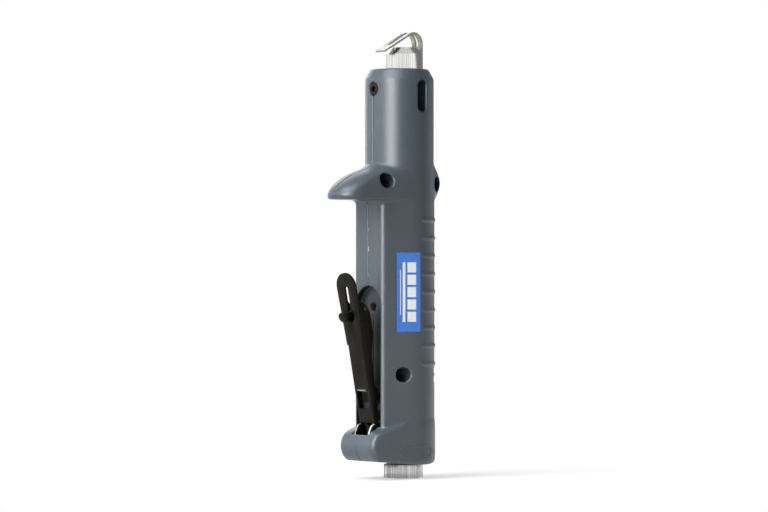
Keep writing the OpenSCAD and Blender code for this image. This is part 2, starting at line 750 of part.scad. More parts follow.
// Side wall of the lever: its ear rounds forwards to the pivot, and it is deepest at the lock
ear_front = [[-1.6, 10.5], [-3.2, 8.2], [-4.2, 5.6], [-4.6, 2.8]];
module wall_outline() {
    lock_y = face_y + lock_in;
    circle(r = ear_r);
    polygon(concat(
        [[-1.2, -ear_r + 0.1], [ear_r * cos(20), ear_r * sin(20)], [face_y + 3.3, foot_up],
            [face_y + 4.1, 22], [face_y + 4.3, 30], [face_y + 5.6, 48],
            [lock_y + 2.7, lock_up - 13.5], [lock_y + 3, lock_up - 7.5], [lock_y + 2.7, lock_up - 1.5],
            [lock_y + 1, lock_up + 1.5], [lock_y - 0.7, lock_up + 3.2], [face_y + 3, lock_up + 6],
            [face_y, lock_up + 9], [face_y, foot_up]],
        ear_front,
        [[-ear_r * cos(20), ear_r * sin(20)]]
    ));
}

// What the bend takes off the sheet's corner beside the plate, in three flats
bend_r = 1.4;
module bend_cut(side) {
    corner = [lever_w / 2 - bend_r, face_y + bend_r];
    mirror([side > 0 ? 0 : 1, 0, 0]) translate([0, 0, foot_up - 1]) linear_extrude(taper_up - foot_up + 1)
        polygon(concat([for (a = [0:30:90]) corner + bend_r * [cos(a), -sin(a)]],
            [[corner[0], face_y - 1], [lever_w / 2 + 1, face_y - 1], [lever_w / 2 + 1, corner[1]]]));
}

module lever_wall(side) {
    translate([side > 0 ? lever_w / 2 - sheet_t : -lever_w / 2, 0, 0])
        difference() {
            rotate([90, 0, 90]) linear_extrude(sheet_t) wall_outline();
            translate([-1, 0, 0]) along_x() cylinder(r = lever_pin_r + run_gap, h = sheet_t + 2);
            translate([-1, face_y + lock_in, lock_up]) along_x() cylinder(r = lock_pin_r, h = sheet_t + 2);
        }
}

module valve_pad() {
    up = window_up + foot_window_h;
    pad_w = foot_window_w - 1.4;
    pad_h = 7;
    translate([-pad_w / 2, face_y + sheet_t, up]) cube([pad_w, pad_y - face_y - sheet_t, sheet_t]);
    translate([-pad_w / 2, pad_y - sheet_t, up - pad_h]) cube([pad_w, sheet_t, pad_h]);
}

module throttle_lever() color([0.12, 0.12, 0.11])
    at_pivot() {
        difference() {
            union() {
                translate([0, face_y + sheet_t, 0]) rotate([90, 0, 0]) linear_extrude(sheet_t)
                    difference() {
                        plate_outline();
                        plate_holes();
                    }
                lever_wall(1);
                lever_wall(-1);
            }
            bend_cut(1);
            bend_cut(-1);
        }
        valve_pad();
    }

module lever_pin() color("gray")
    translate([0, -pivot_y, pivot_z]) along_x() cylinder(r = lever_pin_r, h = lever_pin_len, center = true);

// Lock lever, drawn from its pin, with the knob towards -Y

module at_lock() at_pivot() translate([0, face_y + lock_in, lock_up]) children();

lock_hub_r = 2.4;
tongue_len = 3.8;
module lock_lever() color([0.14, 0.14, 0.13])
    at_lock() rotate([lock_droop, 0, 0])
        difference() {
            union() {
                along_x() cylinder(r = lock_hub_r, h = lock_t, center = true);
                translate([-lock_t / 2, -knob_reach + knob_len / 2, -1.2])
                    cube([lock_t, knob_reach - knob_len / 2, 2.4]);
                translate([-lock_t / 2, 0, -1.2]) cube([lock_t, tongue_len, 2]);
                translate([0, -knob_reach, 0]) along_y() cylinder(r = knob_r, h = knob_len);
            }
            along_x() cylinder(r = lock_pin_r + run_gap, h = 9, center = true);
        }

module lock_pin() color("gray")
    at_lock() along_x() cylinder(r = lock_pin_r, h = lever_w, center = true);

lock_coil_r = 1.3;
lock_wire_r = 0.25;
lock_pitch = 0.95;
lock_curls = 3;
echo("Lock spring, least gap of the wire to itself in mm",
    coil_gap(lock_coil_r, lock_wire_r, lock_pitch, lock_curls));
module lock_spring() color("gainsboro")
    at_lock() translate([lock_t / 2 + 0.6, 0, 0])
        along_x() coil(lock_coil_r, lock_wire_r, lock_pitch, lock_curls);

// Motor

bolt_circle_r = 9.6;
bolt_r = 1.2;
shuttle_r = 8;
shuttle_up = 2.5;
module cylinder_cap() color("lightgray")
    translate([0, 0, cap_z])
        difference() {
            cylinder(r = motor_r, h = cap_h);
            translate([0, -4.6, -1]) cylinder(r = 2, h = cap_h + 2);
            for (k = [0:3])
                rotate(45 + 90 * k) translate([bolt_circle_r, 0, 3]) cylinder(r = bolt_r, h = cap_h);
        }

module valve_chest() color("gray")
    translate([0, 0, chest_z])
        difference() {
            cylinder(r = motor_r, h = chest_h);
            translate([0, 0, shuttle_up]) cylinder(r = shuttle_r, h = shuttle_t + shuttle_travel + 0.1);
            translate([0, 0, -1]) cylinder(r = 2, h = chest_h + 2);
            for (k = [0:3])
                rotate(45 + 90 * k) translate([bolt_circle_r, 0, -1]) cylinder(r = bolt_r, h = chest_h + 2);
        }

module shuttle_valve() color("goldenrod")
    translate([0, 0, chest_z + shuttle_up + 0.05]) tube(shuttle_r - run_gap, 3, shuttle_t);

module cylinder_liner() color("silver") translate([0, 0, cylinder_z]) tube(motor_r, bore_r, cylinder_len);

ring_up = piston_len - 6;
ring_h = 2;
module piston() color("gainsboro")
    translate([0, 0, piston_z])
        difference() {
            cylinder(r = piston_r, h = piston_len);
            translate([0, 0, ring_up]) tube(piston_r + 1, piston_r - 1.2, ring_h);
            translate([0, 0, 8]) cylinder(r = rod_r + run_gap, h = piston_len);
        }

module piston_ring() color("black")
    translate([0, 0, piston_z + ring_up]) tube(piston_r + run_gap / 3, piston_r - 1.2, ring_h);

rod_thread_len = 4;
module piston_rod() color("silver")
    translate([0, 0, piston_z + 8]) cylinder(r = rod_r, h = chuck_z + rod_thread_len - piston_z - 8);

module bumper() color("black")
    translate([0, 0, rod_bush_z - bumper_t]) tube(bore_r - seat_gap, rod_r + 1, bumper_t);

seal_wire_r = 0.95;
seal_up = rod_bush_len - 5;
module rod_bushing() color("goldenrod")
    translate([0, 0, rod_bush_z])
        difference() {
            tube(motor_r, rod_r + run_gap, rod_bush_len);
            translate([0, 0, seal_up - 1]) cylinder(r = rod_r + 2.1, h = 2);
        }

module rod_seal() color("black")
    translate([0, 0, rod_bush_z + seal_up]) ring(rod_r + run_gap + seal_wire_r, seal_wire_r);

// Blade holder

blade_slot_z = chuck_z + chuck_len - blade_slot_depth;
clamp_half_w = 5.2;
screw_ups = [8, 16];
module blade_chuck() color("silver")
    translate([0, 0, chuck_z])
        difference() {
            cylinder(r = chuck_r, h = chuck_len);
            translate([0, 0, -1]) cylinder(r = rod_r + run_gap, h = rod_thread_len + 1);
            translate([-blade_slot_w / 2, -clamp_half_w - seat_gap, chuck_len - blade_slot_depth])
                cube([blade_slot_w + clamp_t + 0.1, 2 * (clamp_half_w + seat_gap), far]);
            for (up = screw_ups)
                translate([0, -key_slot_shift, chuck_len - blade_slot_depth + up - 4])
                    along_x() cylinder(r = clamp_screw_r + run_gap, h = far);
        }

module blade_clamp() color("dimgray")
    translate([blade_slot_w / 2, -clamp_half_w, blade_slot_z])
        cube([clamp_t, 2 * clamp_half_w, blade_slot_depth]);

module blade_screws() color("dimgray")
    for (up = screw_ups)
        translate([blade_slot_w / 2 + clamp_t, -key_slot_shift, blade_slot_z + up - 4])
            along_x() difference() {
                cylinder(r = clamp_screw_r, h = 4);
                translate([0, 0, 2]) hex_prism(2, 4);
            }

// Nose tube with its strap

groove_half_w = shank_r + 2 * free_gap;
strap_back = strap_bend_r + 4.2;
module guide_sleeve() color("gainsboro")
    difference() {
        rotate_extrude()
            polygon([[0, nose_z], [nose_r, nose_z], [nose_r, nose_top - nose_chamfer_h],
                [nose_end_r, nose_top], [0, nose_top]]);
        translate([0, 0, nose_z - 1]) cylinder(r = nose_bore_r, h = nose_len - nose_wall + 1);
        key_slot(key_slot_z - guide_travel, key_slot_len + guide_travel, nose_bore_r / 2);
        translate([-slit_w / 2, -clamp_half_w - 0.5, nose_top - nose_wall - 1])
            cube([slit_w, 2 * clamp_half_w + 1, far]);
        translate([-strap_w / 2 - seat_gap, strap_back - strap_t, nose_top - strap_leg])
            cube([strap_w + 2 * seat_gap, 9, far]);
        translate([0, 0, rivet_z()[0]]) along_y() cylinder(r = rivet_r, h = far);
        translate([0, 0, rivet_z()[1]]) along_y() cylinder(r = rivet_r, h = far);
        translate([-groove_half_w, guide_groove_y - far, guide_screw_z - guide_travel - groove_half_w])
            cube([2 * groove_half_w, far, guide_travel + 2 * groove_half_w]);
    }

rivet_r = 1.25;
function rivet_z() = [nose_top - strap_leg + 4, nose_top - strap_leg + 10];
module guide_rivets() color("gray")
    for (z = rivet_z()) translate([0, nose_bore_r + seat_gap, z])
        along_y() cylinder(r = rivet_r - 0.02, h = strap_back - nose_bore_r - seat_gap);

strap_middle = [strap_back - strap_bend_r, nose_top + strap_bend_up];
strap_bend_steps = 24;
function strap_bend(r) = [
    for (i = [0:strap_bend_steps]) let (a = (90 + strap_slope) * i / strap_bend_steps)
        strap_middle + r * [cos(a), sin(a)]
];
function backwards(list) = [for (i = [len(list) - 1:-1:0]) list[i]];
module strap_outline() {
    outer = strap_bend(strap_bend_r);
    inner = strap_bend(strap_bend_r - strap_t);
    front = strap_front_len * [cos(180 + strap_slope), sin(180 + strap_slope)];
    leg_z = nose_top - strap_leg;
    polygon(concat(
        [[strap_back, leg_z]],
        outer,
        [outer[strap_bend_steps] + front, inner[strap_bend_steps] + front],
        backwards(inner),
        [[strap_back - strap_t, leg_z]]
    ));
}

module blade_guide() color("darkgray")
    difference() {
        translate([-strap_w / 2, 0, 0]) rotate([90, 0, 90]) linear_extrude(strap_w) strap_outline();
        translate([-strap_slot_w / 2, -15, nose_top + 1.2]) cube([strap_slot_w, far, far]);
        for (z = rivet_z()) translate([0, 0, z]) along_y() cylinder(r = rivet_r, h = far);
    }

housing_right();
housing_left();
housing_screws();
guide_screw();
guide_nut();
label_plate();
inlet_bushing();
inlet_screen();
inlet_seal();
valve_body();
valve_bush();
valve_stem();
valve_seal();
valve_spring();
valve_plug();
throttle_lever();
lever_pin();
lock_lever();
lock_pin();
lock_spring();
cylinder_cap();
valve_chest();
shuttle_valve();
cylinder_liner();  // cylinder
piston();
piston_ring();
piston_rod();
bumper();
rod_bushing();
rod_seal();
blade_chuck();
blade_clamp();
blade_screws();
guide_sleeve();
blade_guide();
guide_rivets();
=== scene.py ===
"""Looks of a hand-held air saw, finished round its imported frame.

Lengths are in metres, and those whose names end in _MM in millimetres.
"""
import json
import math

import bpy
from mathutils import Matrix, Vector


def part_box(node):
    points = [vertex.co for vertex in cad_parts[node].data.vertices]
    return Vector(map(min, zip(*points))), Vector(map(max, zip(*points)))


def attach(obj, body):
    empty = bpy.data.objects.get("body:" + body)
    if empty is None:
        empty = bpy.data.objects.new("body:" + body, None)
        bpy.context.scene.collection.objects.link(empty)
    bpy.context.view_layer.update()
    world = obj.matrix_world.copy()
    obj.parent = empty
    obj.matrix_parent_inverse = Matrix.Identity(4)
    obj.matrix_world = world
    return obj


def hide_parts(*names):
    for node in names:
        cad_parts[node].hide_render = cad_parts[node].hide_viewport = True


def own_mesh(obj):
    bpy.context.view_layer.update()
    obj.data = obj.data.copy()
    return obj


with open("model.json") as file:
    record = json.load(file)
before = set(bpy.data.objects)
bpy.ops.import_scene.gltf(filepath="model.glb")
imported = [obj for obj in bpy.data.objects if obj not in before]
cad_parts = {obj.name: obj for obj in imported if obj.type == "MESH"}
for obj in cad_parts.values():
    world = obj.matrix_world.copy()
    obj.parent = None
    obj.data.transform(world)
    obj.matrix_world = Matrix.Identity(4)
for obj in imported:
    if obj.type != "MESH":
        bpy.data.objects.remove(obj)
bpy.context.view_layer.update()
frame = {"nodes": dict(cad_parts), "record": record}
bpy.ops.object.select_all(action="DESELECT")

MM = 0.001
nodes = frame["nodes"]
slot_of = {row["node"]: row["material_slot"] for row in frame["record"]["subparts"]}
body_of = {name: body for body, names in frame["record"]["behaviour"]["bodies"].items() for name in names}


# Node trees

def put(tree, kind, inputs=None, **settings):
    """Adds a shader node; a socket given as an input is linked, and any other value is set."""
    made = tree.nodes.new(kind)
    for name, value in settings.items():
        setattr(made, name, value)
    for name, value in (inputs or {}).items():
        if isinstance(value, bpy.types.NodeSocket):
            tree.links.new(value, made.inputs[name])
        else:
            made.inputs[name].default_value = value
    return made


def math_of(tree, operation, first, second=0.0):
    """One Math node's output."""
    return put(tree, "ShaderNodeMath", {0: first, 1: second}, operation=operation).outputs[0]


def times(tree, first, *others):
    """The product of some masks."""
    for other in others:
        first = math_of(tree, "MULTIPLY", first, other)
    return first


def most(tree, first, *others):
    """The largest of some masks."""
    for other in others:
        first = math_of(tree, "MAXIMUM", first, other)
    return first


def object_place(tree):
    """The point's place in the saw's own frame, which moves with its piece."""
    return put(tree, "ShaderNodeTexCoord").outputs["Object"]


def parts_of(tree, vector):
    """X, Y and Z of a vector, by name."""
    return put(tree, "ShaderNodeSeparateXYZ", {0: vector}).outputs


def facing_parts(tree):
    """X, Y and Z of the way that the surface faces, by name."""
    return parts_of(tree, put(tree, "ShaderNodeNewGeometry").outputs["Normal"])


def ramp(tree, value, low, high, bottom=0.0, top=1.0):
    """Value brought from low..high to bottom..top, clamped."""
    sockets = {"Value": value, "From Min": low, "From Max": high, "To Min": bottom, "To Max": top}
    return put(tree, "ShaderNodeMapRange", sockets).outputs["Result"]


def blend_colour(tree, mask, first, second):
    """First colour where the mask is 0 and second where it is 1."""
    made = put(tree, "ShaderNodeMix", {"Factor": mask}, data_type="RGBA")
    for socket, value in ((made.inputs[6], first), (made.inputs[7], second)):
        if isinstance(value, bpy.types.NodeSocket):
            tree.links.new(value, socket)
        else:
            socket.default_value = value
    return made.outputs[2]


def new_group(name, inputs, outputs):
    """An empty shader group with its named sockets, and its input and output nodes."""
    tree = bpy.data.node_groups.new(name, "ShaderNodeTree")
    for title, kind, value in inputs:
        tree.interface.new_socket(title, in_out="INPUT", socket_type=kind).default_value = value
    for title, kind in outputs:
        tree.interface.new_socket(title, in_out="OUTPUT", socket_type=kind)
    return tree, tree.nodes.new("NodeGroupInput").outputs, tree.nodes.new("NodeGroupOutput").inputs


FLOAT, VECTOR = "NodeSocketFloat", "NodeSocketVector"
# Half the width over which a printed edge fades
PRINT_SOFT = 0.04 * MM


def grain_group():
    """Fine moulded or blasted grain: a normal and the grain's own height."""
    tree, given, out = new_group(
        "fine grain",
        [("Scale", FLOAT, 2000.0), ("Depth", FLOAT, 0.00003)],
        [("Normal", VECTOR), ("Height", FLOAT)],
    )
    place = object_place(tree)
    fine = put(tree, "ShaderNodeTexNoise", {"Vector": place, "Scale": given["Scale"], "Detail": 3.0})
    bump = put(tree, "ShaderNodeBump", {"Height": fine.outputs["Fac"], "Distance": given["Depth"]})
    tree.links.new(bump.outputs["Normal"], out["Normal"])
    tree.links.new(fine.outputs["Fac"], out["Height"])
    return tree


def wear_group():
    """Mask of handled edges: convex edges, broken up by a noise."""
    tree, given, out = new_group(
        "edge wear",
        [("Low", FLOAT, 0.52), ("High", FLOAT, 0.6), ("Scale", FLOAT, 400.0)],
        [("Mask", FLOAT)],
    )
    place = object_place(tree)
    sharp = put(tree, "ShaderNodeNewGeometry").outputs["Pointiness"]
    edge = ramp(tree, sharp, given["Low"], given["High"])
    patchy = put(tree, "ShaderNodeTexNoise", {"Vector": place, "Scale": given["Scale"], "Detail": 4.0})
    broken = ramp(tree, patchy.outputs["Fac"], 0.35, 0.65)
    tree.links.new(times(tree, edge, broken), out["Mask"])
    return tree


def drift_group():
    """Slow variation of tone over a surface, from 0 to 1."""
    tree, given, out = new_group("tone drift", [("Scale", FLOAT, 40.0)], [("Mask", FLOAT)])
    place = object_place(tree)
    slow = put(tree, "ShaderNodeTexNoise", {"Vector": place, "Scale": given["Scale"], "Detail": 5.0})
    tree.links.new(ramp(tree, slow.outputs["Fac"], 0.3, 0.7), out["Mask"])
    return tree


def streak_group():
    """Fine lines along one axis, as brushing, turning or drawing leaves them."""
    tree, given, out = new_group(
        "fine lines",
        [("Stretch", VECTOR, (3000.0, 3000.0, 40.0)), ("Depth", FLOAT, 0.00002)],
        [("Normal", VECTOR), ("Mask", FLOAT)],
    )
    place = object_place(tree)
    drawn = put(tree, "ShaderNodeVectorMath", {0: place, 1: given["Stretch"]}, operation="MULTIPLY")
    lines = put(tree, "ShaderNodeTexNoise", {"Vector": drawn.outputs[0], "Scale": 1.0, "Detail": 4.0})
    bump = put(tree, "ShaderNodeBump", {"Height": lines.outputs["Fac"], "Distance": given["Depth"]})
    tree.links.new(bump.outputs["Normal"], out["Normal"])
    tree.links.new(lines.outputs["Fac"], out["Mask"])
    return tree


def speck_group():
    """Sparse small specks, such as dust and nicks: 1 on a speck."""
    tree, given, out = new_group("specks", [("Scale", FLOAT, 260.0), ("Size", FLOAT, 0.06)], [("Mask", FLOAT)])
    place = object_place(tree)
    cells = put(tree, "ShaderNodeTexVoronoi", {"Vector": place, "Scale": given["Scale"]})
    rare = put(tree, "ShaderNodeTexNoise", {"Vector": place, "Scale": 55.0, "Detail": 2.0})
    near = math_of(tree, "LESS_THAN", cells.outputs["Distance"], given["Size"])
    tree.links.new(times(tree, near, ramp(tree, rare.outputs["Fac"], 0.56, 0.6)), out["Mask"])
    return tree


def box_mask_group():
    """1 inside a rectangle of the Y-Z plane, with a soft edge."""
    tree, given, out = new_group(
        "printed box",
        [("Point", VECTOR, (0, 0, 0)), ("Centre", VECTOR, (0, 0, 0)), ("Half", VECTOR, (1, 1, 1))],
        [("Mask", FLOAT)],
    )
    shifted = put(tree, "ShaderNodeVectorMath", {0: given["Point"], 1: given["Centre"]}, operation="SUBTRACT")
    size = put(tree, "ShaderNodeVectorMath", {0: shifted.outputs[0]}, operation="ABSOLUTE")
    left = put(tree, "ShaderNodeVectorMath", {0: given["Half"], 1: size.outputs[0]}, operation="SUBTRACT")
    parts = parts_of(tree, left.outputs[0])
    inside = [ramp(tree, parts[axis], -PRINT_SOFT, PRINT_SOFT) for axis in ("Y", "Z")]
    tree.links.new(times(tree, *inside), out["Mask"])
    return tree


def disc_mask_group():
    """1 within a radius of a line that runs along an axis; the axis is left out of the distance."""
    tree, given, out = new_group(
        "round well",
        [("Centre", VECTOR, (0, 0, 0)), ("Across", VECTOR, (0, 1, 1)), ("Radius", FLOAT, 0.004)],
        [("Mask", FLOAT)],
    )
    place = object_place(tree)
    away = put(tree, "ShaderNodeVectorMath", {0: place, 1: given["Centre"]}, operation="SUBTRACT")
    flat = put(tree, "ShaderNodeVectorMath", {0: away.outputs[0], 1: given["Across"]}, operation="MULTIPLY")
    reach = put(tree, "ShaderNodeVectorMath", {0: flat.outputs[0]}, operation="LENGTH").outputs["Value"]
    tree.links.new(math_of(tree, "LESS_THAN", reach, given["Radius"]), out["Mask"])
    return tree


def block_mask_group():
    """1 inside a block of space, with a narrow soft border."""
    tree, given, out = new_group(
        "block of space",
        [("Centre", VECTOR, (0, 0, 0)), ("Half", VECTOR, (1, 1, 1)), ("Soft", FLOAT, 0.0003)],
        [("Mask", FLOAT)],
    )
    place = object_place(tree)
    shifted = put(tree, "ShaderNodeVectorMath", {0: place, 1: given["Centre"]}, operation="SUBTRACT")
    size = put(tree, "ShaderNodeVectorMath", {0: shifted.outputs[0]}, operation="ABSOLUTE")
    left = put(tree, "ShaderNodeVectorMath", {0: given["Half"], 1: size.outputs[0]}, operation="SUBTRACT")
    parts = parts_of(tree, left.outputs[0])
    least = math_of(tree, "MINIMUM", math_of(tree, "MINIMUM", parts["X"], parts["Y"]), parts["Z"])
    tree.links.new(ramp(tree, math_of(tree, "DIVIDE", least, given["Soft"]), -1.0, 1.0), out["Mask"])
    return tree


effects = {
    "grain": grain_group(),
    "disc": disc_mask_group(),
    "block": block_mask_group(),
    "wear": wear_group(),
    "drift": drift_group(),
    "streaks": streak_group(),
    "specks": speck_group(),
    "box": box_mask_group(),
}


def effect(tree, name, **inputs):
    """One of the shared groups, with its values; returns its outputs."""
    made = put(tree, "ShaderNodeGroup", node_tree=effects[name])
    for title, value in inputs.items():
        if isinstance(value, bpy.types.NodeSocket):
            tree.links.new(value, made.inputs[title])
        else:
            made.inputs[title].default_value = value
    return made.outputs


def srgb(red, green, blue):
    """A colour as seen on a screen, 0 to 255, brought to the shader's own scale."""
    def bend(value):
        share = value / 255
        return share / 12.92 if share <= 0.04045 else ((share + 0.055) / 1.055) ** 2.4
    return (bend(red), bend(green), bend(blue), 1.0)


def new_material(name):
    """A material with its Principled shader."""
    made = bpy.data.materials.new(name)
    made.use_nodes = True
    return made, made.node_tree, made.node_tree.nodes["Principled BSDF"]


def feed(tree, shader, **sockets):
    """Links or sets the shader's sockets; an underscore in a name stands for a space."""
    for name, value in sockets.items():
        socket = shader.inputs[name.replace("_", " ")]
        if isinstance(value, bpy.types.NodeSocket):
            tree.links.new(value, socket)
        else:
            socket.default_value = value


# Materials

# Screw wells on the right: across the saw and up it, and their radius, in millimetres
WELLS_MM = ((-23.4, 159.6), (14.0, 158.3), (-13.4, 56.1), (12.5, 55.5))
WELL_R_MM = 4.02
# The seam screw's well: its height and radius
SEAM_WELL_UP_MM, SEAM_WELL_R_MM = 209.0, 3.72

# Blocks of space that hold a hollow with painted shade: centre and half size, in millimetres
POCKET_MM = ((0, -22.7, 65.5), (10.12, 1.8, 38.5))
KNUCKLE_SLOT_MM = ((0, -24.9, 21.6), (6.66, 5.7, 8.5))
SEAM_WELL_MM = ((0, -16, 209), (5, 5.4, 5))
KEY_SLOT_MM = ((14.5, -2.2, 205.3), (6, 2.9, 9.8))
# The pocket's painted shade is a little lighter near its top, from one height to another, but for its very rim,
# where it is full again
POCKET_LIGHTER_MM, POCKET_RIM_MM = (88, 94), (99.5, 102.5)

# Blocks that hold the lever's bare edges, painted bright as a highlight: its ears, and the window's upper edge
EARS_MM = ((0, -27.5, 26.2), (7.5, 4.8, 3.6))
WINDOW_LIP_MM = ((0, -30, 47.5), (3.4, 12, 0.6))
EAR_INNER_MM = 4.0

# How far a face may be turned to the side and still count as a slot's wall or as a cut edge, and to the front
WALL_LIMIT, CUT_LIMIT, FRONT_LIMIT = 0.7, 0.5, -0.4
# How strong the painted shade in the hollows is, the window edge's painted highlight, and the left ear's next to
# the right one's
HOLLOW_SHADE_SHARE, LIP_SHARE, LEFT_EAR_SHARE = 0.93, 0.3, 0.45

# The parting line: half its dark width and where it has faded out, then the heights over which it changes on the
# barrel and on the base, and its strength from the lower one to the upper one
PARTING_MM = (0.08, 0.24)
PARTING_BARREL_MM, PARTING_BASE_MM = (158, 170), (24, 34)
BARREL_TONES, BASE_TONES = (0.24, 0.9), (0.55, 0.0)

# Pale nicks on the grip's front: across from the seam, height, and half their width and height, in millimetres
SCUFFS_MM = ((0.35, 123.3, 0.4, 1.2), (0.1, 133.5, 0.16, 0.8), (0.15, 109.6, 0.18, 1.0))
SCUFF_Y_MM, SCUFF_DEPTH_MM = -24.9, 2

# Painted shade: the plastic is a little darker from the grip upwards, where the floor lights it less
UPPER_SHADE_FROM, UPPER_SHADE_TO = 50 * MM, 150 * MM


def in_block(tree, block_mm, soft_mm=0.1):
    """Mask of a block of space, given by its centre and half size in millimetres."""
    centre, half = block_mm
    return effect(
        tree, "block", Centre=[part * MM for part in centre], Half=[part * MM for part in half],
        Soft=soft_mm * MM)["Mask"]


def rise(tree, value, span_mm, bottom=0.0, top=1.0):
    """A value that goes from bottom to top over a span given in millimetres."""
    return ramp(tree, value, span_mm[0] * MM, span_mm[1] * MM, bottom, top)


def painted_shade_hollows(tree):
    """Mask of painted shade in the hollows: the pocket, a little lighter near its top, the wells on the right,
    with half of it on walls that face the front, and the slots.
    """
    parts = parts_of(tree, object_place(tree))
    facing = facing_parts(tree)
    depth = most(
        tree, rise(tree, parts["Z"], POCKET_LIGHTER_MM, 1.0, 0.94), rise(tree, parts["Z"], POCKET_RIM_MM))
    pocket = times(tree, in_block(tree, POCKET_MM), depth)
    round_seam = effect(
        tree, "disc", Centre=(0, 0, SEAM_WELL_UP_MM * MM), Across=(1, 0, 1), Radius=SEAM_WELL_R_MM * MM)["Mask"]
    seam_well = times(tree, round_seam, in_block(tree, SEAM_WELL_MM))
    wells = most(tree, 0.0, *(
        effect(tree, "disc", Centre=(0, across * MM, up * MM), Radius=WELL_R_MM * MM)["Mask"]
        for across, up in WELLS_MM))
    on_right = math_of(tree, "GREATER_THAN", parts["X"], 0.0)
    # Painted shade: the walls of the wells that face the front, where light falls, get half of it
    front_lit = ramp(tree, times(tree, facing["Y"], -1.0), 0.1, 0.9, 1.0, 0.5)
    wall = math_of(tree, "LESS_THAN", math_of(tree, "ABSOLUTE", facing["X"]), WALL_LIMIT)
    return most(
        tree, times(tree, wells, on_right, front_lit), pocket, in_block(tree, KNUCKLE_SLOT_MM), seam_well,
        times(tree, in_block(tree, KEY_SLOT_MM), wall))


def parting_line(tree):
    """Mask of the thin dark line between the two halves, fainter down the grip."""
    parts = parts_of(tree, object_place(tree))
    near = rise(tree, math_of(tree, "ABSOLUTE", parts["X"]), PARTING_MM, 1.0, 0.0)
    upper = rise(tree, parts["Z"], PARTING_BARREL_MM, *BARREL_TONES)
    lower = rise(tree, parts["Z"], PARTING_BASE_MM, *BASE_TONES)
    return times(tree, near, most(tree, upper, lower))


def scuffs(tree):
    """Mask of a few small pale nicks along the seam, where the saw has been set down."""
    return most(tree, 0.0, *(
        in_block(tree, ((across, SCUFF_Y_MM, up), (half_w, SCUFF_DEPTH_MM, half_h)), soft_mm=0.15)
        for across, up, half_w, half_h in SCUFFS_MM))


def bare_edges_painted_highlight(tree):
    """Mask of the lever's cut edges, bare steel painted near white as a highlight: those of its two ears, the
    right one brighter, and the window's upper one, a painted highlight on its bend.
    """
    across = parts_of(tree, object_place(tree))["X"]
    facing = facing_parts(tree)
    outside = math_of(tree, "GREATER_THAN", math_of(tree, "ABSOLUTE", across), EAR_INNER_MM * MM)
    cut_face = math_of(tree, "LESS_THAN", math_of(tree, "ABSOLUTE", facing["X"]), CUT_LIMIT)
    # Painted highlight: the right ear, on the lit side, gets it in full, the left one less
    right_ear_lit_more = rise(tree, across, (-EAR_INNER_MM, EAR_INNER_MM), LEFT_EAR_SHARE, 1.0)
    ears = times(tree, in_block(tree, EARS_MM, soft_mm=0.2), outside, cut_face, right_ear_lit_more)
    front = math_of(tree, "LESS_THAN", facing["Y"], FRONT_LIMIT)
    lip = times(tree, in_block(tree, WINDOW_LIP_MM, soft_mm=0.3), front, LIP_SHARE)
    return most(tree, ears, lip)


def satin_composite():
    """Slate glass-filled nylon with a blasted mould's grain, polished a little on its edges."""
    made, tree, shader = new_material("satin_composite")
    grain = effect(tree, "grain", Scale=3200.0, Depth=0.00002)
    tone = effect(tree, "drift", Scale=38.0)["Mask"]
    worn = effect(tree, "wear", Low=0.53, High=0.62, Scale=500.0)["Mask"]
    specks = effect(tree, "specks", Scale=330.0, Size=0.07)["Mask"]
    colour = blend_colour(tree, tone, srgb(72, 82, 90), srgb(78, 88, 96))
    height = parts_of(tree, object_place(tree))["Z"]
    # Painted shade: darker from the grip upwards
    colour = blend_colour(tree, ramp(tree, height, UPPER_SHADE_FROM, UPPER_SHADE_TO, 0.0, 0.5), colour, srgb(59, 69, 77))
    colour = blend_colour(tree, times(tree, worn, 0.35), colour, srgb(130, 140, 150))
    colour = blend_colour(tree, times(tree, specks, 0.3), colour, srgb(190, 196, 200))
    colour = blend_colour(tree, parting_line(tree), colour, srgb(38, 46, 52))
    colour = blend_colour(tree, scuffs(tree), colour, srgb(236, 240, 244))
    # Painted shade in the pocket, the wells and the slots
    colour = blend_colour(tree, times(tree, painted_shade_hollows(tree), HOLLOW_SHADE_SHARE), colour, srgb(14, 19, 23))
    rough = ramp(tree, grain["Height"], 0.3, 0.7, 0.3, 0.42)
    rough = math_of(tree, "SUBTRACT", rough, times(tree, worn, 0.08))
    feed(tree, shader, Base_Color=colour, Roughness=rough, Normal=grain["Normal"], Specular_IOR_Level=0.42)
    return made


def oxide_sheet():
    """Black oxide on rolled sheet steel, with the metal just showing on its edges, and a painted highlight on the
    ears' and the window's edges.
    """
    made, tree, shader = new_material("oxide_sheet")
    lines = effect(tree, "streaks", Stretch=(1400.0, 1400.0, 90.0), Depth=0.00001)
    tone = effect(tree, "drift", Scale=90.0)["Mask"]
    worn = effect(tree, "wear", Low=0.54, High=0.66, Scale=700.0)["Mask"]
    colour = blend_colour(tree, tone, srgb(23, 22, 17), srgb(29, 28, 22))
    colour = blend_colour(tree, times(tree, worn, 0.5), colour, srgb(110, 105, 92))
    # Painted highlight: the ears' bare cut edges and the window's upper edge, near white
    colour = blend_colour(tree, bare_edges_painted_highlight(tree), colour, srgb(226, 226, 218))
    rough = ramp(tree, lines["Mask"], 0.3, 0.7, 0.36, 0.5)
    feed(tree, shader, Base_Color=colour, Roughness=rough, Normal=lines["Normal"], Specular_IOR_Level=0.08)
    return made


def oxide_screw():
    """Black oxide on turned screw steel."""
    made, tree, shader = new_material("oxide_screw")
    grain = effect(tree, "grain", Scale=3000.0, Depth=0.00001)
    worn = effect(tree, "wear", Low=0.53, High=0.62, Scale=900.0)["Mask"]
    colour = blend_colour(tree, times(tree, worn, 0.6), srgb(46, 44, 42), srgb(138, 132, 126))
    rough = ramp(tree, grain["Height"], 0.3, 0.7, 0.3, 0.42)
    feed(tree, shader, Base_Color=colour, Metallic=0.8, Roughness=rough, Normal=grain["Normal"])
    return made


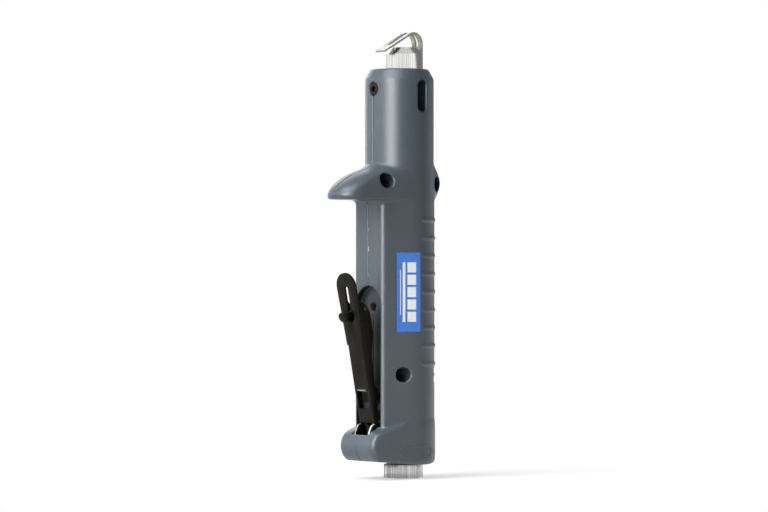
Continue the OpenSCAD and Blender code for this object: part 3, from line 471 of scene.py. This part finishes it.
def bright_metal(name, light, dark, stretch, rough_low, rough_high):
    """Bare machined metal: fine lines, slow tone, and a darker film in the lines."""
    made, tree, shader = new_material(name)
    lines = effect(tree, "streaks", Stretch=stretch, Depth=0.000015)
    tone = effect(tree, "drift", Scale=120.0)["Mask"]
    colour = blend_colour(tree, ramp(tree, lines["Mask"], 0.35, 0.65), dark, light)
    colour = blend_colour(tree, times(tree, tone, 0.25), colour, dark)
    rough = ramp(tree, lines["Mask"], 0.3, 0.7, rough_high, rough_low)
    feed(tree, shader, Base_Color=colour, Metallic=1.0, Roughness=rough, Normal=lines["Normal"])
    return made


# Label: how far it is turned from the side, and the print's blocks, rule and thin line, in millimetres:
# place across the label, half width and height
LABEL_TURN = math.radians(18)
BLOCK_MM, BLOCK_N, BLOCK_PITCH_MM = (1.9, 2.5, 5.4), 5, 6.6
LINES_MM = ((-2.6, 0.75, 32.0), (-4.6, 0.2, 24.0))


def label_print():
    """Centre and half size of each white box of the label's print, across and along the label."""
    across, half_w, height = BLOCK_MM
    boxes = [(across, half_w, height, (k - (BLOCK_N - 1) / 2) * BLOCK_PITCH_MM) for k in range(BLOCK_N)]
    boxes += [(*line, 0) for line in LINES_MM]
    return [((0, y * MM, up * MM), (1, half_w * MM, height / 2 * MM)) for y, half_w, height, up in boxes]


def printed_film():
    """Blue label film with a plain white print, under a clear gloss."""
    made, tree, shader = new_material("printed_film")
    low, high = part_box("label_plate")
    middle = (low + high) / 2
    place = object_place(tree)
    turned = put(
        tree, "ShaderNodeMapping", {"Vector": place, "Location": middle, "Rotation": (0, 0, -LABEL_TURN)},
        vector_type="TEXTURE",
    ).outputs["Vector"]
    print_mask = most(tree, *(
        effect(tree, "box", Point=turned, Centre=centre, Half=half)["Mask"] for centre, half in label_print()))
    tone = effect(tree, "drift", Scale=25.0)["Mask"]
    blue = blend_colour(tree, tone, srgb(54, 122, 220), srgb(60, 130, 226))
    colour = blend_colour(tree, print_mask, blue, srgb(255, 255, 255))
    grain = effect(tree, "grain", Scale=900.0, Depth=0.0000015)
    rough = ramp(tree, grain["Height"], 0.3, 0.7, 0.26, 0.32)
    feed(tree, shader, Base_Color=colour, Roughness=rough, Normal=grain["Normal"], Coat_Weight=0.3)
    return made


def soft_rubber():
    """Black seal rubber."""
    made, tree, shader = new_material("soft_rubber")
    grain = effect(tree, "grain", Scale=1800.0, Depth=0.00003)
    tone = effect(tree, "drift", Scale=150.0)["Mask"]
    colour = blend_colour(tree, tone, srgb(28, 28, 29), srgb(38, 38, 38))
    feed(tree, shader, Base_Color=colour, Roughness=0.75, Normal=grain["Normal"])
    return made


materials = {
    "housing": satin_composite(),
    "dark_steel": oxide_screw(),
    "label": printed_film(),
    "black_oxide": oxide_sheet(),
    "bright_steel": bright_metal(
        "turned_steel", srgb(216, 217, 213), srgb(150, 151, 148), (1300.0, 1300.0, 15.0), 0.16, 0.28),
    "spring_steel": bright_metal(
        "spring_strip", srgb(192, 191, 182), srgb(140, 139, 130), (300.0, 2600.0, 300.0), 0.24, 0.38),
    "pin_steel": bright_metal(
        "ground_pin", srgb(200, 199, 196), srgb(160, 159, 156), (40.0, 3000.0, 3000.0), 0.2, 0.32),
    "aluminium": bright_metal(
        "cast_aluminium", srgb(205, 207, 210), srgb(170, 172, 176), (900.0, 900.0, 900.0), 0.35, 0.5),
    "bronze": bright_metal(
        "turned_bronze", srgb(196, 152, 92), srgb(150, 110, 62), (40.0, 40.0, 3000.0), 0.28, 0.42),
    "rubber": soft_rubber(),
}
nose_steel = bright_metal(
    "ground_nose", srgb(251, 251, 248), srgb(212, 213, 210), (1500.0, 1500.0, 12.0), 0.16, 0.28)
# Brass pieces that show in the pocket, darkened as painted shade
BRASS_IN_SHADE = ("valve_plug", "valve_bush")
brass_in_painted_shade = bright_metal(
    "brass_in_painted_shade", srgb(74, 62, 44), srgb(44, 36, 26), (40.0, 3000.0, 3000.0), 0.4, 0.55)


# Pieces

# How near two points are merged, and how flat an edge is dissolved
MERGE_WITHIN, FLAT_ANGLE = 0.002 * MM, math.radians(0.4)


def pick(obj):
    """Makes an object the only one selected, and active."""
    bpy.ops.object.select_all(action="DESELECT")
    obj.select_set(True)
    bpy.context.view_layer.objects.active = obj


def finished_copy(node, name):
    """A copy of a CAD node's mesh with its loose triangles merged, ready to be finished."""
    made = bpy.data.objects.new(name, nodes[node].data.copy())
    bpy.context.scene.collection.objects.link(made)
    pick(made)
    bpy.ops.object.mode_set(mode="EDIT")
    bpy.ops.mesh.select_all(action="SELECT")
    bpy.ops.mesh.remove_doubles(threshold=MERGE_WITHIN)
    bpy.ops.mesh.dissolve_limited(angle_limit=FLAT_ANGLE)
    bpy.ops.object.mode_set(mode="OBJECT")
    return made


def shape_with(obj, kind, **settings):
    """Adds a modifier with its settings and applies it."""
    bpy.context.view_layer.objects.active = obj
    made = obj.modifiers.new(kind.lower(), kind)
    for name, value in settings.items():
        setattr(made, name, value)
    bpy.ops.object.modifier_apply(modifier=made.name)


def hand_over(obj, node, smooth_angle, finish=None):
    """Shades a finished piece and gives it its body and the material of its node's slot; it stands for its CAD
    node.
    """
    pick(obj)
    bpy.ops.object.shade_smooth_by_angle(angle=math.radians(smooth_angle))
    obj.data.materials.clear()
    obj.data.materials.append(finish or materials[slot_of[node]])
    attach(obj, body_of[node])
    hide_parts(node)


# The moulding is remade at an even grain, smoothed, and thinned out where it is flat.
# Its edges are soft, but those of the barrel's shoulder stay crisper.
VOXEL = 0.5 * MM
SMOOTH_SHARE = 0.5
KEEP_SHARE = 0.45
SHOULDER_Z = 212.5 * MM
CRISP_PASSES, SOFT_PASSES = 2, 6
# Up to which angle an edge is shaded smooth: on a moulding, on one left as packed, and on other pieces
MOULDED_DEG, PACKED_DEG, EDGED_DEG, COIL_DEG = 70, 35, 40, 60

# Barrel's radius and centre, and its shoulder's chamfer: where it starts, and how much it draws in on its way up
BARREL_R, BARREL_Y = 18.6 * MM, -2.9 * MM
CHAMFER_Z, CHAMFER_SLOPE = 214.6 * MM, 0.56
CHAMFER_UNDER, CHAMFER_OVER = 1.5 * MM, 8 * MM
WIDE_R, BELOW_Z = 60 * MM, -10 * MM
CHAMFER_SIDES = 128
# How far past a plane a point lies to count as beyond it
PAST = 0.01 * MM


def select_verts(obj, wanted):
    """Selects the points whose place passes the test, and no others."""
    bpy.ops.mesh.select_all(action="DESELECT")
    bpy.ops.object.mode_set(mode="OBJECT")
    for point in obj.data.vertices:
        point.select = wanted(point.co)
    bpy.ops.object.mode_set(mode="EDIT")


def shoulder_envelope():
    """A wide body that ends in the barrel's chamfer: all that a half may fill."""
    bpy.ops.object.select_all(action="DESELECT")
    foot = CHAMFER_Z - CHAMFER_UNDER
    foot_r = BARREL_R + CHAMFER_UNDER * CHAMFER_SLOPE
    top_r = BARREL_R - CHAMFER_OVER * CHAMFER_SLOPE
    bpy.ops.mesh.primitive_cylinder_add(
        vertices=CHAMFER_SIDES, radius=WIDE_R, depth=foot - BELOW_Z, location=(0, BARREL_Y, (foot + BELOW_Z) / 2))
    made = bpy.context.object
    made.name = "shoulder_envelope"
    bpy.ops.object.transform_apply(location=True, rotation=True, scale=True)
    bpy.ops.object.mode_set(mode="EDIT")
    bpy.ops.mesh.select_mode(type="VERT")
    select_verts(made, lambda place: place.z > foot - PAST)
    bpy.ops.mesh.extrude_region_move()
    bpy.ops.transform.resize(value=(foot_r / WIDE_R, foot_r / WIDE_R, 1), center_override=(0, BARREL_Y, foot))
    bpy.ops.mesh.extrude_region_move(TRANSFORM_OT_translate={"value": (0, 0, CHAMFER_UNDER + CHAMFER_OVER)})
    bpy.ops.transform.resize(value=(top_r / foot_r, top_r / foot_r, 1), center_override=(0, BARREL_Y, foot))
    bpy.ops.object.mode_set(mode="OBJECT")
    return made


def moulded_half(node, name, envelope):
    """A housing half with the soft edges of a moulding, kept within the envelope."""
    half = finished_copy(node, name)
    shape_with(half, "BOOLEAN", operation="INTERSECT", solver="EXACT", object=envelope)
    shape_with(half, "REMESH", mode="VOXEL", voxel_size=VOXEL)
    shape_with(half, "SMOOTH", factor=SMOOTH_SHARE, iterations=CRISP_PASSES)
    body = half.vertex_groups.new(name="below the shoulder")
    body.add([point.index for point in half.data.vertices if point.co.z < SHOULDER_Z], 1.0, "REPLACE")
    shape_with(half, "SMOOTH", factor=SMOOTH_SHARE, iterations=SOFT_PASSES, vertex_group=body.name)
    shape_with(half, "DECIMATE", ratio=KEEP_SHARE)
    hand_over(half, node, MOULDED_DEG)
    return half


# Pieces whose sharp edges are broken: node, piece, bevel in millimetres, its segments, and a finish of its own
EDGED = (
    ("throttle_lever", "lever_sheet", 0.3, 2, None),
    ("lock_lever", "lock_latch", 0.25, 2, None),
    ("housing_screws", "housing_cap_screws", 0.2, 2, None),
    ("guide_screw", "seam_cap_screw", 0.2, 2, None),
    ("inlet_bushing", "inlet_hexagon", 0.25, 2, None),
    ("guide_sleeve", "nose_tube", 0.2, 2, nose_steel),
    ("blade_guide", "nose_strap", 0.12, 1, None),
)
SHARP_ANGLE = math.radians(28)

shoulder = shoulder_envelope()
right_shell = moulded_half("housing_right", "right_shell", shoulder)
left_shell = moulded_half("housing_left", "left_shell", shoulder)
bpy.data.objects.remove(shoulder)

for node, name, width_mm, segments, finish in EDGED:
    piece = finished_copy(node, name)
    shape_with(
        piece, "BEVEL", width=width_mm * MM, segments=segments, limit_method="ANGLE", angle_limit=SHARP_ANGLE)
    hand_over(piece, node, EDGED_DEG, finish)

# The valve's spring, copied as it stands, shaded smooth and given a mesh of its own
valve_coils = finished_copy("valve_spring", "valve_coils")
hand_over(valve_coils, "valve_spring", COIL_DEG)
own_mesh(valve_coils)

for node, obj in nodes.items():
    if not obj.hide_render:
        obj.data.materials.clear()
        # Brass in the pocket gets a darkened copy of its metal: painted shade
        obj.data.materials.append(brass_in_painted_shade if node in BRASS_IN_SHADE else materials[slot_of[node]])


# Raised outline and arrow moulded on the base's right flank: sizes across and up, in metres
OUTLINE_FROM_Y, OUTLINE_TO_Y = -17.6 * MM, 4.6 * MM
OUTLINE_Z, OUTLINE_HALF_H = 14.7 * MM, 2.9 * MM
OUTLINE_LINE = 0.4 * MM
OUTLINE_PROUD = 0.22 * MM
ROUND_SIDES, LINE_CUTS, ARROW_CUTS = 32, 5, 3
ARROW_Y, ARROW_R = 7.6 * MM, 1.5 * MM
OUTSIDE_X = 40 * MM


def circle_beside(name, sides, radius, y, fill="NOTHING"):
    """A flat ring or plate that stands beside the flank and faces it, left in edit mode."""
    bpy.ops.object.select_all(action="DESELECT")
    bpy.ops.mesh.primitive_circle_add(
        vertices=sides, radius=radius, fill_type=fill,
        rotation=(0, math.pi / 2, 0), location=(OUTSIDE_X, y, OUTLINE_Z))
    made = bpy.context.object
    made.name = name
    bpy.ops.object.transform_apply(location=True, rotation=True, scale=True)
    bpy.ops.object.mode_set(mode="EDIT")
    return made


def raised_outline():
    """A thin raised line round an empty field, lying on the flank."""
    middle = OUTLINE_FROM_Y + OUTLINE_HALF_H
    length = OUTLINE_TO_Y - OUTLINE_FROM_Y
    made = circle_beside("raised_outline", ROUND_SIDES, OUTLINE_HALF_H, middle)
    bpy.ops.mesh.select_mode(type="VERT")
    select_verts(made, lambda place: place.y > middle + PAST)
    bpy.ops.transform.translate(value=(0, length - 2 * OUTLINE_HALF_H, 0))
    bpy.ops.mesh.select_all(action="SELECT")
    bpy.ops.mesh.subdivide(number_cuts=LINE_CUTS)
    bpy.ops.mesh.extrude_region_move()
    bpy.ops.transform.resize(
        value=(1, 1 - 2 * OUTLINE_LINE / length, 1 - OUTLINE_LINE / OUTLINE_HALF_H),
        center_override=(OUTSIDE_X, (OUTLINE_FROM_Y + OUTLINE_TO_Y) / 2, OUTLINE_Z))
    bpy.ops.object.mode_set(mode="OBJECT")
    return made


def raised_arrow():
    """A small raised triangle behind the outline, pointing to the rear."""
    made = circle_beside("raised_arrow", 3, ARROW_R, ARROW_Y, fill="NGON")
    bpy.ops.mesh.select_all(action="SELECT")
    bpy.ops.mesh.quads_convert_to_tris()
    bpy.ops.mesh.subdivide(number_cuts=ARROW_CUTS)
    bpy.ops.object.mode_set(mode="OBJECT")
    return made


def lay_on_flank(piece, shell):
    """Brings a flat piece from the side onto the shell, gives it its thickness and hands it over."""
    shape_with(
        piece, "SHRINKWRAP", target=shell, wrap_method="PROJECT", use_project_x=True, use_negative_direction=True,
        use_positive_direction=False)
    shape_with(piece, "SOLIDIFY", thickness=2 * OUTLINE_PROUD, offset=0.0)
    pick(piece)
    bpy.ops.object.mode_set(mode="EDIT")
    bpy.ops.mesh.select_all(action="SELECT")
    bpy.ops.mesh.normals_make_consistent(inside=False)
    bpy.ops.object.mode_set(mode="OBJECT")
    piece.data.materials.append(materials["housing"])
    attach(piece, body_of["housing_right"])


marks = (raised_outline(), raised_arrow())
for mark in marks:
    lay_on_flank(mark, right_shell)


# Camera

AIM = Vector((-6.7, -8.0, 119.5)) * MM
VIEW_TURN = math.radians(50)
CAMERA_WAY = Vector((math.sin(VIEW_TURN), -math.cos(VIEW_TURN), 0))
CAMERA_FAR = 1.9
LENS_MM, SENSOR_MM = 165, 36

lens = bpy.data.cameras.new("camera")
lens.lens = LENS_MM
lens.sensor_width = SENSOR_MM
camera = bpy.data.objects.new("camera", lens)
camera.location = AIM + CAMERA_WAY * CAMERA_FAR
camera.rotation_euler = CAMERA_WAY.to_track_quat("Z", "Y").to_euler()
bpy.context.scene.collection.objects.link(camera)
bpy.context.scene.camera = camera


# Light, floor and background

# The moulded pieces: the panels that shape the plastic's gloss light these alone
moulded = bpy.data.collections.new("moulded")
for piece in (right_shell, left_shell, *marks):
    moulded.objects.link(piece)

SAW_MIDDLE = Vector((0, 0, 0.12))


def soft_light(name, way, far, size, power, diffuse=True, gloss=True, only=None):
    """A large soft lamp, aimed at the saw's middle from a direction; it can light the gloss alone, or all else."""
    data = bpy.data.lights.new(name, "AREA")
    data.shape = "RECTANGLE"
    data.size, data.size_y = size
    data.energy = power
    lamp = bpy.data.objects.new(name, data)
    lamp.visible_diffuse = diffuse
    lamp.visible_glossy = gloss
    if only:
        lamp.light_linking.receiver_collection = only
    way = Vector(way).normalized()
    lamp.location = SAW_MIDDLE + way * far
    lamp.rotation_euler = way.to_track_quat("Z", "Y").to_euler()
    bpy.context.scene.collection.objects.link(lamp)


soft_light("key", (-0.05, -0.82, 0.57), 1.0, (0.6, 0.7), 11.5, gloss=False)
soft_light("strip", (0.38, -0.92, 0.05), 1.0, (0.5, 1.4), 33, diffuse=False, only=moulded)
soft_light("panel", (-0.45, -0.89, 0.05), 1.2, (1.9, 1.4), 9, diffuse=False, only=moulded)
soft_light("canopy", (0.12, -0.52, 0.85), 1.0, (0.7, 0.4), 7.5, diffuse=False, only=moulded)
soft_light("fill", (0.0, 0.97, 0.2), 1.1, (0.6, 0.9), 14, gloss=False)
soft_light("back", (-0.85, 0.3, 0.4), 1.0, (0.6, 0.9), 3)
soft_light("top", (-0.15, -0.4, 1.0), 0.9, (0.5, 0.5), 4, gloss=False)

# The studio as bright metal shows it. Its unlit side: where the middle lies, from +X towards +Y, how wide it is,
# how soft its border is, and its level. Its ceiling: how far up it starts and ends to dim, and its level.
DIM_SIDE = math.radians(98)
DIM_HALF = math.radians(62)
DIM_SOFT, DIM_LEVEL = 0.04, 0.2
CEILING_SPAN, CEILING_LEVEL = (0.25, 0.8), 0.72
# What matt faces get from all round
AMBIENT_LEVEL = 0.06
WHITE = (1, 1, 1, 1)


def studio_level(tree):
    """What the gloss sees: white round about, dimmer overhead and on the unlit side."""
    way = put(tree, "ShaderNodeTexCoord").outputs["Generated"]
    middle = (math.cos(DIM_SIDE), math.sin(DIM_SIDE), 0)
    along = put(tree, "ShaderNodeVectorMath", {0: way, 1: middle}, operation="DOT_PRODUCT").outputs["Value"]
    border = math.cos(DIM_HALF)
    side = ramp(tree, along, border - DIM_SOFT, border + DIM_SOFT, 1.0, DIM_LEVEL)
    overhead = ramp(tree, parts_of(tree, way)["Z"], *CEILING_SPAN, 1.0, CEILING_LEVEL)
    return math_of(tree, "MINIMUM", side, overhead)


world = bpy.data.worlds.new("studio")
world.use_nodes = True
bpy.context.scene.world = world
sky = world.node_tree
sky.nodes.clear()
rays = put(sky, "ShaderNodeLightPath").outputs
white, ambient, studio = (
    put(sky, "ShaderNodeBackground", {"Color": WHITE, "Strength": level}).outputs[0]
    for level in (1.0, AMBIENT_LEVEL, studio_level(sky)))
lit = put(sky, "ShaderNodeMixShader", {0: rays["Is Glossy Ray"], 1: ambient, 2: studio}).outputs[0]
seen = most(sky, rays["Is Camera Ray"], rays["Is Transmission Ray"])
backdrop = put(sky, "ShaderNodeMixShader", {0: seen, 1: lit, 2: white}).outputs[0]
put(sky, "ShaderNodeOutputWorld", {"Surface": backdrop})

# Floor of matt paper, which fades into the white background away from the saw, and has half faded beneath it
FLOOR_R, FLOOR_SIDES = 6.0, 96
FADE_FROM, FADE_TO, FADE_LEAST = 0.04, 0.3, 0.5
PAPER = (0.92, 0.92, 0.92, 1)

bpy.ops.mesh.primitive_circle_add(vertices=FLOOR_SIDES, radius=FLOOR_R, fill_type="NGON", location=(0, 0, 0))
floor = bpy.context.object
floor.name = "floor"
paper = bpy.data.materials.new("floor_paper")
paper.use_nodes = True
sheet = paper.node_tree
sheet.nodes.clear()
reach = put(sheet, "ShaderNodeVectorMath", {0: object_place(sheet)}, operation="LENGTH").outputs["Value"]
fade = ramp(sheet, reach, FADE_FROM, FADE_TO, FADE_LEAST, 1.0)
matt = put(sheet, "ShaderNodeBsdfDiffuse", {"Color": PAPER}).outputs[0]
glow = put(sheet, "ShaderNodeEmission", {"Color": WHITE, "Strength": 1.0}).outputs[0]
rays = put(sheet, "ShaderNodeLightPath").outputs
looks = most(sheet, rays["Is Camera Ray"], rays["Is Glossy Ray"], rays["Is Transmission Ray"])
far_white = put(sheet, "ShaderNodeMixShader", {0: looks, 1: matt, 2: glow}).outputs[0]
surface = put(sheet, "ShaderNodeMixShader", {0: fade, 1: matt, 2: far_white}).outputs[0]
put(sheet, "ShaderNodeOutputMaterial", {"Surface": surface})
floor.data.materials.append(paper)

bpy.context.scene.view_settings.view_transform = "Standard"
